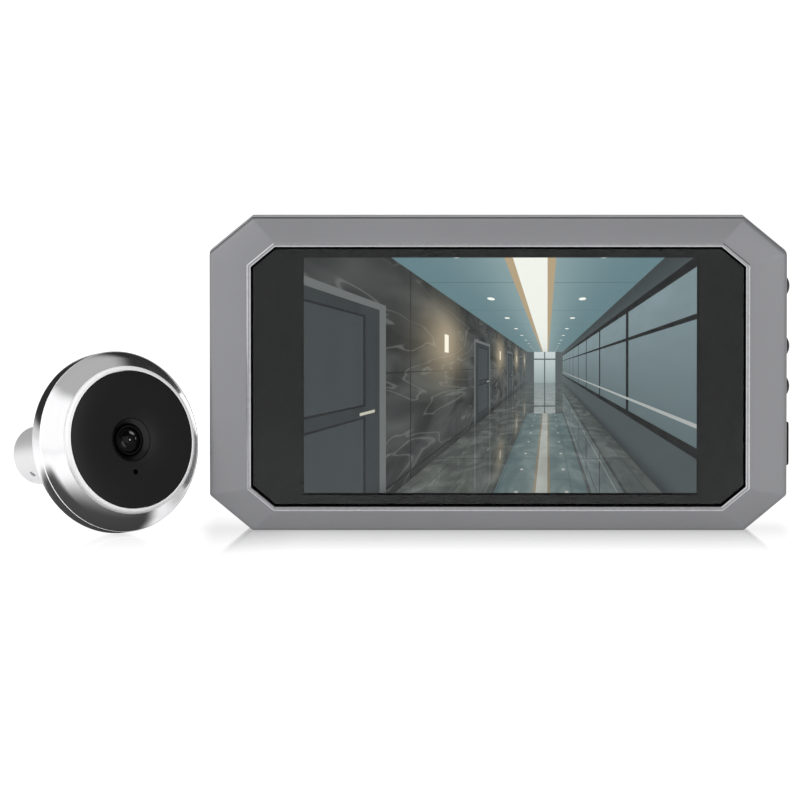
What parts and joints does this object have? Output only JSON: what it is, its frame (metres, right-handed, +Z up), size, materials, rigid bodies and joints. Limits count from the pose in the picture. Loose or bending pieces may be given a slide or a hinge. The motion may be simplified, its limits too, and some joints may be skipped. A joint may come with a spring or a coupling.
{
  "type": "peephole door camera",
  "caption": "Door viewer set: an octagonal indoor monitor with a lit screen, side keys and battery hatch, beside a round chrome camera on a barrel that passes through the door.",
  "frame": {"origin": "middle of the monitor's underside, on the surface it stands on", "axes": "+X along the monitor's width to its keys, -Y out of the screen, +Z up"},
  "size_m": [0.1861, 0.0517, 0.0745],
  "materials": {
    "bezel_metal": "satin, grey",
    "window_sheet": "clear, polished",
    "mask_print": "black print",
    "foam": "matt foam",
    "screen": "lit picture",
    "tray": "bright sheet",
    "flex_film": "amber film",
    "socket_plastic": "ivory",
    "board": "green solder mask",
    "chip": "matt black",
    "socket_metal": "bright sheet",
    "screw": "zinc plated",
    "key_plastic": "satin black",
    "contact": "gold plated",
    "battery_can": "wrapped",
    "housing_plastic": "satin, grey",
    "speaker_steel": "dark plated",
    "magnet": "dark",
    "cone": "black film",
    "camera_chrome": "mirror plated",
    "face_plastic": "smoked black",
    "lens_plastic": "black",
    "lens_glass": "coated",
    "sensor": "dark",
    "led": "smoked",
    "barrel_steel": "brushed"
  },
  "bodies": {
    "monitor": {"front_bezel": "bezel_metal", "front_window": "window_sheet", "window_mask": "mask_print", "lcd_gasket": "foam", "lcd_glass": "screen", "backlight_tray": "tray", "lcd_cushions": "foam", "lcd_flex": "flex_film", "lcd_socket": "socket_plastic", "main_board": "board", "board_chips": "chip", "key_switches": "chip", "charging_socket": "socket_metal", "card_socket": "socket_metal", "ribbon_socket": "socket_plastic", "board_screws": "screw", "battery_contacts": "contact", "battery": "battery_can", "speaker_frame": "speaker_steel", "speaker_magnet": "magnet", "speaker_cone": "cone", "rear_housing": "housing_plastic", "case_screws": "screw"},
    "camera": {"camera_housing": "camera_chrome", "face_panel": "face_plastic", "panel_tape": "foam", "lens_hood": "lens_plastic", "lens_barrel": "lens_plastic", "front_lens": "lens_glass", "rear_lens": "lens_glass", "lens_holder": "lens_plastic", "image_sensor": "sensor", "camera_board": "board", "infrared_leds": "led", "microphone": "socket_metal", "microphone_boot": "foam", "camera_screws": "screw", "camera_socket": "socket_plastic", "door_barrel": "barrel_steel", "door_gasket": "foam"},
    "cover": {"battery_cover": "housing_plastic"},
    "menu": {"menu_key": "key_plastic"},
    "up": {"up_key": "key_plastic"},
    "down": {"down_key": "key_plastic"},
    "view": {"view_key": "key_plastic"}
  },
  "joints": [
    {"name": "camera_lift", "type": "slide", "parent": "monitor", "child": "camera", "axis": [0, 0, 1], "range_m": [0, 0.1]},
    {"name": "cover_pull", "type": "slide", "parent": "monitor", "child": "cover", "axis": [0, 1, 0], "range_m": [0, 0.03]},
    {"name": "menu_press", "type": "slide", "parent": "monitor", "child": "menu", "axis": [-1, 0, 0], "range_m": [0, 0.0005], "stiffness_N_per_m": 1500},
    {"name": "up_press", "type": "slide", "parent": "monitor", "child": "up", "axis": [-1, 0, 0], "range_m": [0, 0.0005], "stiffness_N_per_m": 1500},
    {"name": "down_press", "type": "slide", "parent": "monitor", "child": "down", "axis": [-1, 0, 0], "range_m": [0, 0.0005], "stiffness_N_per_m": 1500},
    {"name": "view_press", "type": "slide", "parent": "monitor", "child": "view", "axis": [-1, 0, 0], "range_m": [0, 0.0005], "stiffness_N_per_m": 1500}
  ]
}
